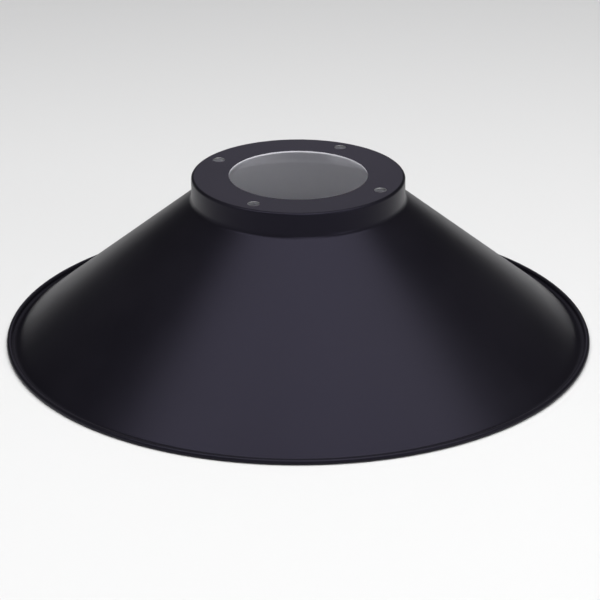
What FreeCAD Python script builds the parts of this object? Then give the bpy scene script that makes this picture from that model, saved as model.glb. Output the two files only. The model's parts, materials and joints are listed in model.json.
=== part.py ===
"""Spun sheet-metal reflector shade for a high bay light.

One sheet is spun into one piece: a flat mounting flange with a centre opening and
four bolt holes, a short upright neck, a straight flared wall, and a rim that is
turned out flat and curled up into a round bead.

Frame: millimetres, +Z up along the axis of revolution. The origin is the centre of
the circle on which the rim rests, so the whole shade lies at z >= 0. The bolt holes
lie on the X and Y axes.

The section is drawn as one path along the coated outer face, from the edge of the
centre opening out to the raw end of the curl. The inner face is the same path set
back by the sheet thickness, so the wall has one thickness round every bend. The two
bends of the neck are true arcs. The small bends out at the rim turn in short flats
between points on their arcs, which keeps the long rim light to mesh.
"""
import FreeCAD
import Part

import math
import os

# ---------------------------------------------------------------- driving sizes
SHEET_THICKNESS = 1.2          # aluminium sheet after spinning

OVERALL_HEIGHT = 118.5         # from the resting plane to the top face of the flange
RIM_DIAMETER = 410.0           # over the outside of the rim bead

CENTRE_OPENING_DIAMETER = 95.5
OPENING_TO_BOLTS = 15.25       # edge of the centre opening to the bolt circle
BOLTS_TO_NECK = 10.75          # bolt circle to the outside of the neck
BOLT_HOLE_DIAMETER = 8.4
BOLT_COUNT = 4

NECK_HEIGHT = 16.5             # top face down to where neck and flare would meet

SHOULDER_BEND_RADIUS = 2.0     # flange to neck, on the outer face
NECK_BEND_RADIUS = 5.0         # neck to flare, on the outer face
FOOT_BEND_RADIUS = 3.0         # flare to rim ledge, on the outer face

LEDGE_WIDTH = 3.0              # flat ledge between the foot of the flare and the bead
CURL_INNER_RADIUS = 0.6        # hollow left inside the curled bead
CURL_SWEEP = 270.0             # degrees that the sheet turns to make the bead
CURL_STEP = 45.0               # degrees between the short flats that the curl is drawn with

# --------------------------------------------------------------- derived sizes
opening_radius = CENTRE_OPENING_DIAMETER / 2.0
bolt_circle_radius = opening_radius + OPENING_TO_BOLTS
neck_radius = bolt_circle_radius + BOLTS_TO_NECK

bead_radius = CURL_INNER_RADIUS + SHEET_THICKNESS
curl_centre_radius = RIM_DIAMETER / 2.0 - bead_radius
foot_radius = RIM_DIAMETER / 2.0 - 2.0 * bead_radius - LEDGE_WIDTH
curl_flats = round(CURL_SWEEP / CURL_STEP)


def section_point(radius, height):
    """Return a point of the section, which lies in the XZ plane."""
    return FreeCAD.Vector(radius, 0.0, height)


def straight(start, end):
    """Return the straight edge between two points."""
    return Part.LineSegment(start, end).toShape()


def left_of(direction):
    """Return the unit normal on the left of a direction in the section plane."""
    return FreeCAD.Vector(-direction.z, 0.0, direction.x)


def bend_between(before, corner, after, radius, offset):
    """Return start, middle and end of the arc that rounds one corner of the path.

    The radius is that of the outer face. The offset moves the whole arc to the right
    of the path, about the same centre.
    """
    incoming = (corner - before).normalize()
    outgoing = (after - corner).normalize()
    turn = incoming.getAngle(outgoing)
    turns_left = left_of(incoming).dot(outgoing) > 0.0
    side = 1.0 if turns_left else -1.0

    setback = radius * math.tan(turn / 2.0)
    centre = corner - incoming * setback + left_of(incoming) * side * radius
    face_radius = radius + side * offset

    start = centre - left_of(incoming) * side * face_radius
    end = centre - left_of(outgoing) * side * face_radius
    towards_middle = ((start - centre) + (end - centre)).normalize()
    return start, centre + towards_middle * face_radius, end


def curl_points(face_radius):
    """Return the points of one face of the rim curl, from the ledge to its raw end.

    The curl turns in short flats, whose corners lie on a circle. Its bottom, its
    outermost and its top point are corners, so the bead has its full height and width.
    """
    points = []
    for index in range(curl_flats + 1):
        angle = math.radians(-90.0 + index * CURL_SWEEP / curl_flats)
        points.append(section_point(curl_centre_radius + face_radius * math.cos(angle),
                                    bead_radius + face_radius * math.sin(angle)))
    return points


def face_path(offset):
    """Return the corner points of one face of the sheet and the edges along it.

    Offset 0 is the coated outer face, and offset SHEET_THICKNESS the inner face.
    """
    corners = [
        section_point(opening_radius, OVERALL_HEIGHT),
        section_point(neck_radius, OVERALL_HEIGHT),
        section_point(neck_radius, OVERALL_HEIGHT - NECK_HEIGHT),
        section_point(foot_radius, SHEET_THICKNESS),
        section_point(curl_centre_radius, SHEET_THICKNESS),
    ]
    bends = [(SHOULDER_BEND_RADIUS, "arc"), (NECK_BEND_RADIUS, "arc"),
             (FOOT_BEND_RADIUS, "flats")]

    edges = []
    first = corners[0] - section_point(0.0, offset)
    last = first
    for index, (radius, drawn_as) in enumerate(bends, start=1):
        start, middle, end = bend_between(corners[index - 1], corners[index],
                                          corners[index + 1], radius, offset)
        edges.append(straight(last, start))
        if drawn_as == "arc":
            edges.append(Part.Arc(start, middle, end).toShape())
        else:
            edges.append(straight(start, middle))
            edges.append(straight(middle, end))
        last = end

    for point in curl_points(CURL_INNER_RADIUS + offset):
        edges.append(straight(last, point))
        last = point
    return first, last, edges


def make_section():
    """Return the closed face of the sheet's section."""
    outer_first, outer_last, outer_edges = face_path(0.0)
    inner_first, inner_last, inner_edges = face_path(SHEET_THICKNESS)
    raw_edge = straight(outer_last, inner_last)
    opening_edge = straight(inner_first, outer_first)
    loop = outer_edges + [raw_edge] + inner_edges[::-1] + [opening_edge]
    return Part.Face(Part.Wire(Part.__sortEdges__(loop)))


def make_bolt_holes():
    """Return the punched bolt holes as one compound of cutting cylinders."""
    cutters = []
    bottom = OVERALL_HEIGHT - 2.0 * SHEET_THICKNESS
    for index in range(BOLT_COUNT):
        angle = math.radians(index * 360.0 / BOLT_COUNT)
        centre = FreeCAD.Vector(bolt_circle_radius * math.cos(angle),
                                bolt_circle_radius * math.sin(angle), bottom)
        cutters.append(Part.makeCylinder(BOLT_HOLE_DIAMETER / 2.0,
                                         3.0 * SHEET_THICKNESS, centre))
    return Part.makeCompound(cutters)


def make_shade():
    """Return the finished shade as one solid."""
    axis_point = FreeCAD.Vector(0.0, 0.0, 0.0)
    axis_direction = FreeCAD.Vector(0.0, 0.0, 1.0)
    spun = make_section().revolve(axis_point, axis_direction, 360.0)
    return spun.cut(make_bolt_holes()).Solids[0]


os.makedirs("parts", exist_ok=True)
shade = make_shade()
shade.exportStep("parts/shade.step")
print("shade: valid", shade.isValid(), "solids", len(shade.Solids),
      "volume mm3", round(shade.Volume, 1))
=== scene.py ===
"""Looks of a spun reflector shade for a high bay light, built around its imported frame.

Metres, +Z up along the axis of revolution, origin at the centre of the circle on
which the rim rests. The shade is one spun sheet: flange, neck, flare, ledge and
rolled bead, with a punched centre opening and four punched bolt holes.
"""

import json
import logging
import math
from dataclasses import dataclass, field
from enum import IntEnum, StrEnum

import bmesh
import bpy
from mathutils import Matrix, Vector

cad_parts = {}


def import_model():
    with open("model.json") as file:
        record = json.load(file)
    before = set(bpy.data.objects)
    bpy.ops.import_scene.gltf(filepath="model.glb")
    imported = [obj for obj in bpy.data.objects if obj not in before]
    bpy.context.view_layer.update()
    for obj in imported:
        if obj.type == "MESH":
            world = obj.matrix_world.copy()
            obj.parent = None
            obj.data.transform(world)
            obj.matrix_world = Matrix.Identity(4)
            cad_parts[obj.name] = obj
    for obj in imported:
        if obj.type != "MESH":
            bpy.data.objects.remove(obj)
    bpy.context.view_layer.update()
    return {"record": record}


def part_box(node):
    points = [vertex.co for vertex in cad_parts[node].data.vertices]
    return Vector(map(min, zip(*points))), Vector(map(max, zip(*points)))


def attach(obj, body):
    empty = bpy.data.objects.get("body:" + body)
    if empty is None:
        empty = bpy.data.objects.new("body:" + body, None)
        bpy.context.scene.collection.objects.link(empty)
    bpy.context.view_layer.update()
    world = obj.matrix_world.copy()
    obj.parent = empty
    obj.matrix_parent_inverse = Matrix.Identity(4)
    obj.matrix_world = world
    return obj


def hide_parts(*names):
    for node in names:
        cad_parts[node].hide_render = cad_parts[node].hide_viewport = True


LOG = logging.getLogger("shade")

MM_PER_M = 1000.0
QUARTER_TURN = math.pi / 2.0
FULL_TURN = 2.0 * math.pi
AXIS = Vector((0.0, 0.0, 0.0)).freeze()
WHITE = (1.0, 1.0, 1.0)

# Places of the colour sockets on a Mix node.
MIX_SHARE, MIX_FIRST, MIX_SECOND, MIX_RESULT = 0, 6, 7, 2

Colour = tuple[float, float, float]
Span = tuple[float, float]
Socket = bpy.types.NodeSocket
Value = float | Colour | Socket
Ring = list[bmesh.types.BMVert]


# ------------------------------------------------------------------- node work
class Operation(StrEnum):
    """What a maths node does."""

    ADD = "ADD"
    SUBTRACT = "SUBTRACT"
    MULTIPLY = "MULTIPLY"
    MAXIMUM = "MAXIMUM"
    LENGTH = "LENGTH"
    DOT_PRODUCT = "DOT_PRODUCT"


@dataclass(frozen=True)
class Relief:
    """Fine unevenness of a surface.

    Spacing and depth are in metres, strength is the share that shows, detail is how
    many finer layers lie over it, and harshness is how strong those are.
    """

    spacing: float
    depth: float
    strength: float
    detail: float
    harshness: float = 0.5


@dataclass(frozen=True)
class Patches:
    """Patches over a surface: how many to the metre, their detail, and where they blend."""

    per_metre: float
    detail: float
    blend: Span


class NodeBoard:
    """The node tree of a material or a world, with short calls to add and wire nodes."""

    # Where most of a noise lies.
    NOISE_RANGE: Span = (0.3, 0.7)

    def __init__(self, name: str, world: bool = False) -> None:
        """Start a material or a world with an empty tree.

        Args:
            name: Its name.
            world: Whether it is a world.
        """
        self.holder = (bpy.data.worlds if world else bpy.data.materials).new(name)
        self.holder.use_nodes = True
        self.tree = self.holder.node_tree
        self.tree.nodes.clear()
        self.output = self.tree.nodes.new(
            "ShaderNodeOutputWorld" if world else "ShaderNodeOutputMaterial")

    def add(self, kind: str, inputs: dict[str | int, Value] | None = None,
            **settings: str) -> bpy.types.Node:
        """Add a node and set or wire its inputs.

        Args:
            kind: Node type, without the leading ShaderNode.
            inputs: Socket name or place to a plain value or to an output socket.
            settings: Attributes of the node itself.

        Returns:
            The new node.
        """
        node = self.tree.nodes.new("ShaderNode" + kind)
        for key, value in settings.items():
            setattr(node, key, value)
        for key, value in (inputs or {}).items():
            self.plug(node.inputs[key], value)
        return node

    def plug(self, socket: Socket, value: Value) -> None:
        """Wire an output into a socket, or set the socket's own value.

        Args:
            socket: The input socket.
            value: An output socket, a colour or a number.
        """
        if isinstance(value, bpy.types.NodeSocket):
            self.tree.links.new(value, socket)
        elif isinstance(value, tuple) and len(value) == 3 and socket.type == "RGBA":
            socket.default_value = (*value, 1.0)
        else:
            socket.default_value = value

    def calc(self, operation: Operation, first: Value, second: Value) -> Socket:
        """Return the result of one operation on two numbers."""
        return self.add("Math", {0: first, 1: second}, operation=operation).outputs[0]

    def blend(self, share: Socket, limits: Span, first: Colour, second: Colour) -> Socket:
        """Blend from one colour to another while a share rises through its limits.

        Args:
            share: What the blend follows.
            limits: Shares at which it starts and ends.
            first: Colour at the start.
            second: Colour at the end.

        Returns:
            The colour socket.
        """
        node = self.add("Mix", {MIX_SHARE: self.span(share, limits, (0.0, 1.0)),
                                MIX_FIRST: first, MIX_SECOND: second}, data_type="RGBA")
        return node.outputs[MIX_RESULT]

    def span(self, value: Socket, given: Span, wanted: Span) -> Socket:
        """Move a value from one range to another, and hold it there.

        Args:
            value: The value.
            given: The range that it comes from.
            wanted: The range that it goes to.

        Returns:
            The value socket.
        """
        node = self.add("MapRange", {"Value": value, "From Min": given[0], "From Max": given[1],
                                     "To Min": wanted[0], "To Max": wanted[1]})
        return node.outputs[0]

    def swing(self, noise: Socket, middle: float, reach: float) -> Socket:
        """Return a value that a noise moves round its middle, by its reach at most."""
        return self.span(noise, self.NOISE_RANGE, (middle - reach, middle + reach))

    def place(self) -> Socket:
        """Return the point on the piece, in metres."""
        return self.add("TexCoord").outputs["Object"]

    def radius(self, place: Socket) -> Socket:
        """Return the distance of a point from the axis."""
        flat = self.add("VectorMath", {0: place, 1: (1.0, 1.0, 0.0)}, operation=Operation.MULTIPLY)
        return self.add("VectorMath", {0: flat.outputs[0]},
                        operation=Operation.LENGTH).outputs["Value"]

    def height(self, place: Socket) -> Socket:
        """Return how high a point or a direction lies."""
        return self.add("SeparateXYZ", {0: place}).outputs["Z"]

    def travel(self, place: Socket) -> Socket:
        """Return how far out and down the sheet a point lies."""
        return self.calc(Operation.SUBTRACT, self.radius(place), self.height(place))

    def patches(self, place: Socket, patches: Patches) -> Socket:
        """Return broad noise from 0 to 1."""
        return self.add("TexNoise", {"Vector": place, "Scale": patches.per_metre,
                                     "Detail": patches.detail}).outputs["Fac"]

    def grit(self, place: Socket, relief: Relief) -> Socket:
        """Return the height of an even relief, from 0 to 1."""
        return self.add("TexNoise", {
            "Vector": place, "Scale": 1.0 / relief.spacing, "Detail": relief.detail,
            "Roughness": relief.harshness}).outputs["Fac"]

    def rings(self, travel: Socket, relief: Relief) -> Socket:
        """Return the height of uneven rings round the axis, from 0 to 1."""
        return self.add("TexNoise", {"W": travel, "Scale": 1.0 / relief.spacing,
                                     "Detail": relief.detail},
                        noise_dimensions="1D").outputs["Fac"]

    def bump(self, height: Socket, relief: Relief, under: Socket | None = None) -> Socket:
        """Raise the normal by a relief.

        Args:
            height: Height of the relief, from 0 to 1.
            relief: Its depth and strength.
            under: Normal of a coarser relief beneath.

        Returns:
            The normal socket.
        """
        node = self.add("Bump", {"Height": height, "Distance": relief.depth,
                                 "Strength": relief.strength})
        if under is not None:
            self.plug(node.inputs["Normal"], under)
        return node.outputs[0]

    def finish(self, shader: bpy.types.Node) -> bpy.types.ID:
        """Wire a shader to the surface and return the material or world."""
        self.tree.links.new(shader.outputs[0], self.output.inputs["Surface"])
        return self.holder


# -------------------------------------------------------------------- finishes
@dataclass(frozen=True)
class PowderCoat:
    """Black satin powder coat on the outside of the sheet."""

    colour: Colour = (0.0056, 0.0051, 0.0074)
    pale_colour: Colour = (0.0072, 0.0066, 0.0092)
    sheen_colour: Colour = (0.71, 0.66, 1.0)
    roughness: float = 0.34
    roughness_swing: float = 0.04
    gloss: float = 0.153
    clouds: Patches = Patches(per_metre=14.0, detail=3.0, blend=(0.35, 0.65))
    rings: Relief = Relief(spacing=0.0022, depth=0.000008, strength=0.6, detail=3.0)
    peel: Relief = Relief(spacing=0.0016, depth=0.000018, strength=0.7, detail=1.0)
    grain: Relief = Relief(spacing=0.00028, depth=0.000004, strength=0.6, detail=2.0,
                           harshness=0.6)
    grain_share: float = 0.5

    def material(self) -> bpy.types.Material:
        """Make the coat, with peel, grain and the faint rings of the spinning under it.

        Returns:
            The material.
        """
        board = NodeBoard("powder_coat_black")
        place = board.place()
        grain = board.grit(place, self.grain)
        clouds = board.patches(place, self.clouds)
        mottle = board.calc(Operation.ADD,
                            board.calc(Operation.MULTIPLY, grain, self.grain_share),
                            board.calc(Operation.MULTIPLY, clouds, 1.0 - self.grain_share))
        normal = board.bump(board.rings(board.travel(place), self.rings), self.rings)
        normal = board.bump(board.grit(place, self.peel), self.peel, normal)
        normal = board.bump(grain, self.grain, normal)
        return board.finish(board.add("BsdfPrincipled", {
            "Base Color": board.blend(clouds, self.clouds.blend, self.colour, self.pale_colour),
            "Roughness": board.swing(mottle, self.roughness, self.roughness_swing),
            "Normal": normal, "Specular IOR Level": self.gloss,
            "Specular Tint": self.sheen_colour}))


@dataclass(frozen=True)
class WhiteEnamel:
    """White baked enamel on the inside of the sheet and in the wall of its opening."""

    colour: Colour = (0.925, 0.920, 0.980)
    dull_colour: Colour = (0.900, 0.895, 0.955)
    roughness: float = 0.38
    roughness_swing: float = 0.05
    gloss: float = 0.5
    clouds: Patches = Patches(per_metre=11.0, detail=4.0, blend=(0.45, 0.8))
    rings: Relief = Relief(spacing=0.0026, depth=0.000010, strength=0.6, detail=3.0)
    peel: Relief = Relief(spacing=0.0022, depth=0.000015, strength=0.6, detail=1.0)

    def material(self) -> bpy.types.Material:
        """Make the enamel, with soft peel over the rings that spinning left.

        Returns:
            The material.
        """
        board = NodeBoard("enamel_white")
        place = board.place()
        clouds = board.patches(place, self.clouds)
        normal = board.bump(board.rings(board.travel(place), self.rings), self.rings)
        normal = board.bump(board.grit(place, self.peel), self.peel, normal)
        return board.finish(board.add("BsdfPrincipled", {
            "Base Color": board.blend(clouds, self.clouds.blend, self.colour, self.dull_colour),
            "Roughness": board.swing(clouds, self.roughness, self.roughness_swing),
            "Normal": normal, "Specular IOR Level": self.gloss}))


@dataclass(frozen=True)
class PunchedEdge:
    """Bare aluminium in the walls of the punched bolt holes."""

    colour: Colour = (0.80, 0.80, 0.79)
    dull_colour: Colour = (0.55, 0.55, 0.55)
    roughness: float = 0.34
    roughness_swing: float = 0.08
    spots: Patches = Patches(per_metre=400.0, detail=3.0, blend=(0.4, 0.75))
    lines: Relief = Relief(spacing=0.00035, depth=0.000012, strength=0.7, detail=3.0)

    def material(self) -> bpy.types.Material:
        """Make the edge, with fine lines round it, bright and dull by turns.

        Returns:
            The material.
        """
        board = NodeBoard("aluminium_cut_edge")
        place = board.place()
        spots = board.patches(place, self.spots)
        lines = board.rings(board.height(place), self.lines)
        return board.finish(board.add("BsdfPrincipled", {
            "Base Color": board.blend(spots, self.spots.blend, self.colour, self.dull_colour),
            "Metallic": 1.0,
            "Roughness": board.swing(spots, self.roughness, self.roughness_swing),
            "Normal": board.bump(lines, self.lines)}))


@dataclass(frozen=True)
class StudioPaper:
    """Matt pale paper that fades into the air of the room and has no underside."""

    colour: Colour = (0.74, 0.74, 0.74)
    roughness: float = 0.9
    gloss: float = 0.1
    tooth: Relief = Relief(spacing=1.0 / 900.0, depth=0.00002, strength=0.3, detail=2.0)
    fading: Span = (0.85, 1.75)

    def material(self) -> bpy.types.Material:
        """Make plain matt paper with a faint tooth.

        Returns:
            The material.
        """
        board = NodeBoard("studio_paper")
        place = board.place()
        fade = board.span(board.radius(place), self.fading, (1.0, 0.0))
        under = board.add("NewGeometry").outputs["Backfacing"]
        seen = board.calc(Operation.MULTIPLY, fade, board.calc(Operation.SUBTRACT, 1.0, under))
        return board.finish(board.add("BsdfPrincipled", {
            "Base Color": self.colour, "Roughness": self.roughness, "Alpha": seen,
            "Specular IOR Level": self.gloss,
            "Normal": board.bump(board.grit(place, self.tooth), self.tooth)}))


# --------------------------------------------------------------- sheet section
class Side(IntEnum):
    """The finishes of the sheet, in the order of its material slots."""

    OUTSIDE = 0
    INSIDE = 1
    CUT_EDGE = 2


@dataclass
class SectionPoint:
    """One point of the section: where it is, which way it faces, and its finish.

    The finish is that of the strip from this point to the next.
    """

    radius: float
    height: float
    facing: tuple[float, float]
    side: Side


@dataclass(frozen=True)
class Bend:
    """A bend of one face, with its centre given as radius and height.

    It starts at an angle and turns by its sweep, and a hollow one faces its centre.
    """

    centre: Vector
    radius: float
    start: float
    sweep: float
    hollow: bool = False

    def turned_over(self) -> "Bend":
        """Return the bend run the other way, as the underside of the sheet meets it."""
        return Bend(self.centre, self.radius, self.start + self.sweep, -self.sweep,
                    not self.hollow)


@dataclass
class SheetSection:
    """The section of the spun sheet, from the opening to the raw end of the bead."""

    opening_radius: float
    rim_radius: float
    top: float
    sheet: float
    neck_radius: float = 0.07375
    neck_height: float = 0.0165
    shoulder_bend: float = 0.0020
    neck_bend: float = 0.0050
    foot_bend: float = 0.0030
    ledge_width: float = 0.0030
    curl_inner_radius: float = 0.0006
    curl_start: float = -QUARTER_TURN
    curl_sweep: float = math.radians(256.5)
    edge_break: float = 0.00018
    bend_step: float = math.radians(9.0)
    edge_steps: int = 4
    neck_rows: int = 3
    flare_rows: int = 24
    ledge_rows: int = 2
    points: list[SectionPoint] = field(init=False, default_factory=list)

    @property
    def bead_radius(self) -> float:
        """Outside radius of the rolled bead."""
        return self.curl_inner_radius + self.sheet

    def bends(self, depth: float) -> list[Bend]:
        """Lay out the shoulder, neck and foot bends of one face.

        Args:
            depth: How far the face lies under the outer face.

        Returns:
            The bends, from the flange down.
        """
        foot = self.rim_radius - 2.0 * self.bead_radius - self.ledge_width
        corners = [Vector((self.opening_radius, self.top)),
                   Vector((self.neck_radius, self.top)),
                   Vector((self.neck_radius, self.top - self.neck_height)),
                   Vector((foot, self.sheet)),
                   Vector((self.rim_radius - self.bead_radius, self.sheet))]
        radii = (self.shoulder_bend, self.neck_bend, self.foot_bend)
        bends = []
        for before, corner, after, bend in zip(corners, corners[1:], corners[2:], radii):
            incoming = (corner - before).normalized()
            turn = incoming.angle_signed((after - corner).normalized())
            left = 1.0 if turn < 0.0 else -1.0
            normal = Vector((-incoming.y, incoming.x))
            centre = corner - incoming * bend * math.tan(abs(turn) / 2.0) + normal * left * bend
            first = -left * normal
            bends.append(Bend(centre, bend + left * depth, math.atan2(first.y, first.x),
                              left * abs(turn), left > 0.0))
        return bends

    def arc(self, bend: Bend, side: Side, joined: bool = False) -> None:
        """Add the points of a bend.

        Args:
            bend: The bend.
            side: Finish of the face.
            joined: Whether its first point is there already.
        """
        steps = max(2, math.ceil(abs(bend.sweep) / self.bend_step))
        sign = -1.0 if bend.hollow else 1.0
        for step in range(1 if joined else 0, steps + 1):
            angle = bend.start + bend.sweep * step / steps
            out = (math.cos(angle), math.sin(angle))
            self.points.append(SectionPoint(bend.centre.x + bend.radius * out[0],
                                            bend.centre.y + bend.radius * out[1],
                                            (sign * out[0], sign * out[1]), side))

    def arc_after(self, bend: Bend, side: Side, rows: int) -> None:
        """Add a bend, and divide the straight run that leads to it.

        Args:
            bend: The bend.
            side: Finish of the face.
            rows: How many rows the straight run has.
        """
        mark = len(self.points)
        self.arc(bend, side)
        last, end = self.points[mark - 1], self.points[mark]
        self.points[mark:mark] = [
            SectionPoint(last.radius + (end.radius - last.radius) * row / rows,
                         last.height + (end.height - last.height) * row / rows,
                         last.facing, last.side) for row in range(1, rows)]

    def trace(self) -> list[SectionPoint]:
        """Lay out the whole line of the section.

        Returns:
            Points from the flat of the flange, over the outside to the raw end and
            back along the inside to the flat under the flange.
        """
        self.points = []
        shoulder, neck, foot = self.bends(0.0)
        self.arc(shoulder, Side.OUTSIDE)
        self.arc_after(neck, Side.OUTSIDE, self.neck_rows)
        self.arc_after(foot, Side.OUTSIDE, self.flare_rows)

        middle = Vector((self.rim_radius - self.bead_radius, self.bead_radius))
        end = self.curl_start + self.curl_sweep
        half_sheet = self.sheet / 2.0
        tip = middle + Vector((math.cos(end), math.sin(end))) * (self.bead_radius - half_sheet)
        self.arc_after(Bend(middle, self.curl_inner_radius, self.curl_start, self.curl_sweep,
                            hollow=True), Side.OUTSIDE, self.ledge_rows)
        self.arc(Bend(tip, half_sheet, end + math.pi, -math.pi), Side.OUTSIDE, joined=True)
        self.arc(Bend(middle, self.bead_radius, end, -self.curl_sweep), Side.OUTSIDE, joined=True)
        self.points[-1].side = Side.INSIDE

        shoulder, neck, foot = (bend.turned_over() for bend in self.bends(self.sheet))
        self.arc_after(foot, Side.INSIDE, self.ledge_rows)
        self.arc_after(neck, Side.INSIDE, self.flare_rows)
        self.arc_after(shoulder, Side.INSIDE, self.neck_rows)
        return self.points

    def lip(self, radius: float, wall: Side) -> list[SectionPoint]:
        """Lay out the line up through a punched hole, with both its edges broken.

        Args:
            radius: Radius of the hole.
            wall: Finish of its wall.

        Returns:
            Points from the underside to the top face.
        """
        broken = self.edge_break
        points = []
        for height, first, later in ((self.top - self.sheet + broken, 3.0 * QUARTER_TURN, wall),
                                     (self.top - broken, math.pi, Side.OUTSIDE)):
            for step in range(self.edge_steps + 1):
                angle = first - QUARTER_TURN * step / self.edge_steps
                out = (math.cos(angle), math.sin(angle))
                points.append(SectionPoint(radius + broken + broken * out[0],
                                           height + broken * out[1], out,
                                           later if 2 * step >= self.edge_steps else wall))
        return points


# ------------------------------------------------------------------- the shade
class SheetMesh:
    """The mesh of the sheet while it is built, with the normal of each point."""

    def __init__(self) -> None:
        """Start with no points."""
        self.work = bmesh.new()
        self.facings: list[Vector] = []

    def ring(self, point: SectionPoint, centre: Vector, turns: int) -> Ring:
        """Add one ring of points round an upright axis.

        Args:
            point: Radius, height and facing of the ring.
            centre: Where the axis stands.
            turns: How many points go round.

        Returns:
            The ring's points.
        """
        ring = []
        for turn in range(turns):
            angle = FULL_TURN * turn / turns
            way = Vector((math.cos(angle), math.sin(angle), 0.0))
            spot = centre + way * point.radius
            spot.z = point.height
            ring.append(self.work.verts.new(spot))
            facing = way * point.facing[0] + Vector((0.0, 0.0, point.facing[1]))
            self.facings.append(facing.normalized())
        return ring

    def spin(self, points: list[SectionPoint], turns: int,
             centre: Vector = AXIS) -> tuple[Ring, Ring]:
        """Sweep a line of points round an upright axis and skin it.

        Args:
            points: The line.
            turns: How many points go round.
            centre: Where the axis stands.

        Returns:
            The first and the last ring.
        """
        rings = [self.ring(point, centre, turns) for point in points]
        for point, inner, outer in zip(points, rings, rings[1:]):
            for turn in range(turns):
                after = (turn + 1) % turns
                face = self.work.faces.new((inner[turn], outer[turn], outer[after], inner[after]))
                face.material_index = int(point.side)
        return rings[0], rings[-1]

    def fill(self, loops: list[Ring], side: Side, up: float) -> None:
        """Fill the flat space between an outer ring and the rings of its holes.

        Args:
            loops: The rings.
            side: Finish of the faces.
            up: 1 where the faces look up, and -1 where they look down.
        """
        edges = [self.work.edges.get(pair) or self.work.edges.new(pair)
                 for ring in loops for pair in zip(ring, ring[1:] + ring[:1])]
        filled = bmesh.ops.triangle_fill(self.work, use_beauty=True, use_dissolve=False,
                                         edges=edges)
        for face in (item for item in filled["geom"] if isinstance(item, bmesh.types.BMFace)):
            face.normal_update()
            if face.normal.z * up < 0.0:
                face.normal_flip()
            face.material_index = int(side)

    def finish(self, name: str) -> bpy.types.Mesh:
        """Make a smooth mesh of it, with the normals that its rings were given.

        Args:
            name: Name of the mesh.

        Returns:
            The mesh.
        """
        mesh = bpy.data.meshes.new(name)
        self.work.to_mesh(mesh)
        self.work.free()
        mesh.shade_smooth()
        mesh.normals_split_custom_set_from_vertices(self.facings)
        return mesh


@dataclass
class SpunShade:
    """The shade: one spun sheet with its opening and its bolt holes."""

    section: SheetSection
    bolt_circle_radius: float
    bolt_hole_radius: float
    bolt_count: int
    coat: PowderCoat = PowderCoat()
    enamel: WhiteEnamel = WhiteEnamel()
    edge: PunchedEdge = PunchedEdge()
    turns: int = 320
    hole_turns: int = 40

    def build(self) -> bpy.types.Object:
        """Build and dress the shade.

        Returns:
            The finished object.
        """
        mesh = self.form()
        for finish in (self.coat, self.enamel, self.edge):
            mesh.materials.append(finish.material())
        shade = bpy.data.objects.new("spun_shade", mesh)
        bpy.context.scene.collection.objects.link(shade)
        return shade

    def form(self) -> bpy.types.Mesh:
        """Spin the sheet, punch its holes and close both faces of the flange.

        Returns:
            The mesh.
        """
        sheet = SheetMesh()
        top, under = sheet.spin(self.section.trace(), self.turns)
        pairs = [(under, top), sheet.spin(
            self.section.lip(self.section.opening_radius, Side.INSIDE), self.turns)]
        for index in range(self.bolt_count):
            angle = FULL_TURN * index / self.bolt_count
            way = Vector((math.cos(angle), math.sin(angle), 0.0))
            pairs.append(sheet.spin(self.section.lip(self.bolt_hole_radius, Side.CUT_EDGE),
                                    self.hole_turns, way * self.bolt_circle_radius))
        unders, tops = (list(rings) for rings in zip(*pairs))
        sheet.fill(unders, Side.INSIDE, -1.0)
        sheet.fill(tops, Side.OUTSIDE, 1.0)
        return sheet.finish("spun_shade")


# ------------------------------------------------------------------ the studio
def outward(azimuth: float, rise: float) -> Vector:
    """Return the way out from the shade, at an angle round its axis and a rise."""
    return Vector((math.sin(azimuth) * math.cos(rise), -math.cos(azimuth) * math.cos(rise),
                   math.sin(rise)))


def stand(holder: bpy.types.Object, aim: Vector, away: Vector, distance: float) -> None:
    """Stand a lamp or a camera off the point that it looks at, and put it in the scene.

    Args:
        holder: The lamp or camera.
        aim: What it looks at.
        away: The way from there to it.
        distance: How far off it stands.
    """
    holder.location = aim + away * distance
    holder.rotation_mode = "QUATERNION"
    holder.rotation_quaternion = (-away).to_track_quat("-Z", "Y")
    bpy.context.scene.collection.objects.link(holder)


@dataclass(frozen=True)
class SoftBox:
    """A soft lamp that faces the shade.

    Its place is given as seen by someone who stands at the camera and looks at the
    shade: how far it lies round to the right and how high, in degrees, and how far
    off, in metres.
    """

    name: str
    turn: float
    rise: float
    distance: float
    size: tuple[float, float]
    watts: float
    tint: Colour = WHITE
    aim_height: float = 0.05

    def build(self, camera_azimuth: float) -> None:
        """Hang the lamp and aim it.

        Args:
            camera_azimuth: Where the camera stands round the axis.
        """
        lamp = bpy.data.lights.new(self.name, "AREA")
        lamp.shape = "RECTANGLE"
        lamp.size, lamp.size_y = self.size
        lamp.energy = self.watts
        lamp.color = self.tint
        holder = bpy.data.objects.new(self.name, lamp)
        holder.visible_camera = False
        away = outward(camera_azimuth + math.radians(self.turn), math.radians(self.rise))
        stand(holder, Vector((0.0, 0.0, self.aim_height)), away, self.distance)


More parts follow.
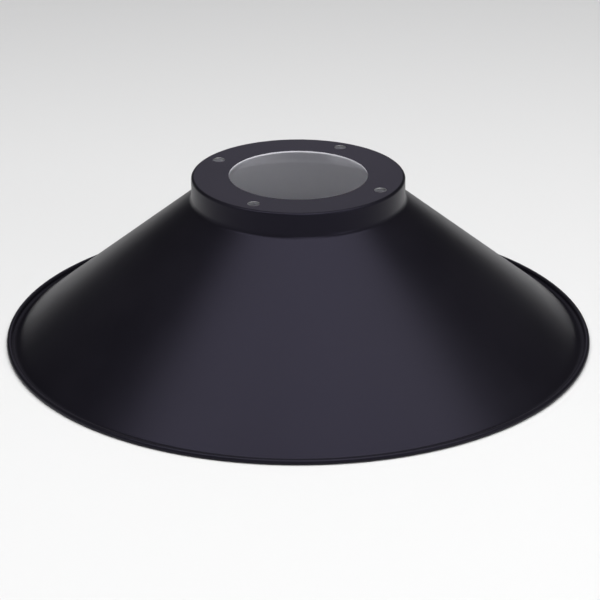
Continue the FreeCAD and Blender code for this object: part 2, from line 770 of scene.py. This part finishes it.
@dataclass(frozen=True)
class Studio:
    """Floor, light and camera round the shade.

    The walls and the ground of the room are light that comes from far off. Their
    spans are sines of angles: wall_turn is how far round to the back the walls end,
    wall_rise is how high they end, and ground_rise is where the ground does.
    """

    azimuth: float = math.radians(28.18)
    pitch: float = math.radians(23.51)
    distance: float = 1.6378
    aim_height: float = 0.0244
    lens: float = 139.6
    film_width: float = 36.0
    shift: float = 0.0029
    near_and_far: Span = (0.05, 50.0)
    floor_reach: float = 1.8
    air: float = 0.04
    wall_light: float = 0.70
    wall_turn: Span = (0.15, 0.45)
    wall_rise: Span = (0.20, 0.45)
    ground_rise: Span = (-0.035, 0.0)
    paper: StudioPaper = StudioPaper()
    boxes: tuple[SoftBox, ...] = (
        SoftBox("soft_box_overhead", 6.0, 79.0, 1.70, (3.6, 0.9), 45.0),
        SoftBox("soft_box_behind", 180.0, 22.0, 2.60, (0.7, 0.9), 1.40, (0.84, 0.79, 1.0)),
        SoftBox("soft_box_over_behind", 180.0, 50.0, 2.20, (1.6, 1.0), 4.2),
        SoftBox("soft_box_front", 14.0, 50.0, 1.90, (0.9, 0.8), 9.0),
        SoftBox("soft_box_low", 48.0, 19.0, 2.20, (0.6, 0.5), 4.0),
    )

    def build(self) -> None:
        """Lay the floor, fill the air, hang the lamps and set the camera."""
        self.lay_floor()
        self.fill_air()
        for box in self.boxes:
            box.build(self.azimuth)
        self.set_camera()

    def lay_floor(self) -> None:
        """Make the pale floor on which the rim rests."""
        reach = self.floor_reach
        mesh = bpy.data.meshes.new("studio_floor")
        mesh.from_pydata([(-reach, -reach, 0.0), (reach, -reach, 0.0),
                          (reach, reach, 0.0), (-reach, reach, 0.0)], [], [(0, 1, 2, 3)])
        mesh.materials.append(self.paper.material())
        floor = bpy.data.objects.new("studio_floor", mesh)
        bpy.context.scene.collection.objects.link(floor)

    def fill_air(self) -> None:
        """Give the room faint light, pale ground far off, and pale walls but for one side."""
        board = NodeBoard("studio_air", world=True)
        way = board.add("TexCoord").outputs["Generated"]
        behind = (-math.sin(self.azimuth), math.cos(self.azimuth), 0.0)
        side = board.add("VectorMath", {0: way, 1: behind},
                         operation=Operation.DOT_PRODUCT).outputs["Value"]
        rise = board.height(way)
        walls = board.calc(Operation.MULTIPLY, board.span(side, self.wall_turn, (1.0, 0.0)),
                           board.span(rise, self.wall_rise, (1.0, 0.0)))
        pale = board.calc(Operation.MAXIMUM, walls,
                          board.span(rise, self.ground_rise, (1.0, 0.0)))
        light = board.calc(Operation.ADD, board.calc(Operation.MULTIPLY, pale, self.wall_light),
                           self.air)
        bpy.context.scene.world = board.finish(board.add("Background", {
            "Color": WHITE, "Strength": light}))

    def set_camera(self) -> None:
        """Stand the camera at its angle to the shade."""
        data = bpy.data.cameras.new("camera")
        data.lens = self.lens
        data.sensor_width = self.film_width
        data.shift_x = self.shift
        data.clip_start, data.clip_end = self.near_and_far
        camera = bpy.data.objects.new("camera", data)
        stand(camera, Vector((0.0, 0.0, self.aim_height)), outward(self.azimuth, self.pitch),
              self.distance)
        bpy.context.scene.camera = camera


def mount_of(record: dict, name: str) -> dict:
    """Return the record's mount of that name."""
    return next(mount for mount in record["mounts"] if mount["name"] == name)


def main() -> None:
    """Build the shade and its studio around the frame."""
    logging.basicConfig(level=logging.INFO, format="%(name)s: %(message)s")
    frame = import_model()
    record = frame["record"]
    bolts = mount_of(record, "flange_bolts")["dims"]
    opening = mount_of(record, "centre_opening")["dims"]
    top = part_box("shade")[1]

    section = SheetSection(opening_radius=opening["r_mm"] / MM_PER_M, rim_radius=top.x,
                           top=top.z, sheet=opening["length_mm"] / MM_PER_M)
    shade = SpunShade(section, bolt_circle_radius=bolts["pcd_mm"] / 2.0 / MM_PER_M,
                      bolt_hole_radius=bolts["hole_r_mm"] / MM_PER_M,
                      bolt_count=bolts["count"]).build()
    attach(shade, "root")
    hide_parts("shade")
    LOG.info("%s: %d points", shade.name, len(shade.data.vertices))

    Studio().build()
    scene = bpy.context.scene
    scene.view_settings.view_transform = "Standard"
    LOG.info("studio: floor, soft light and camera")


if __name__ == "__main__":
    main()
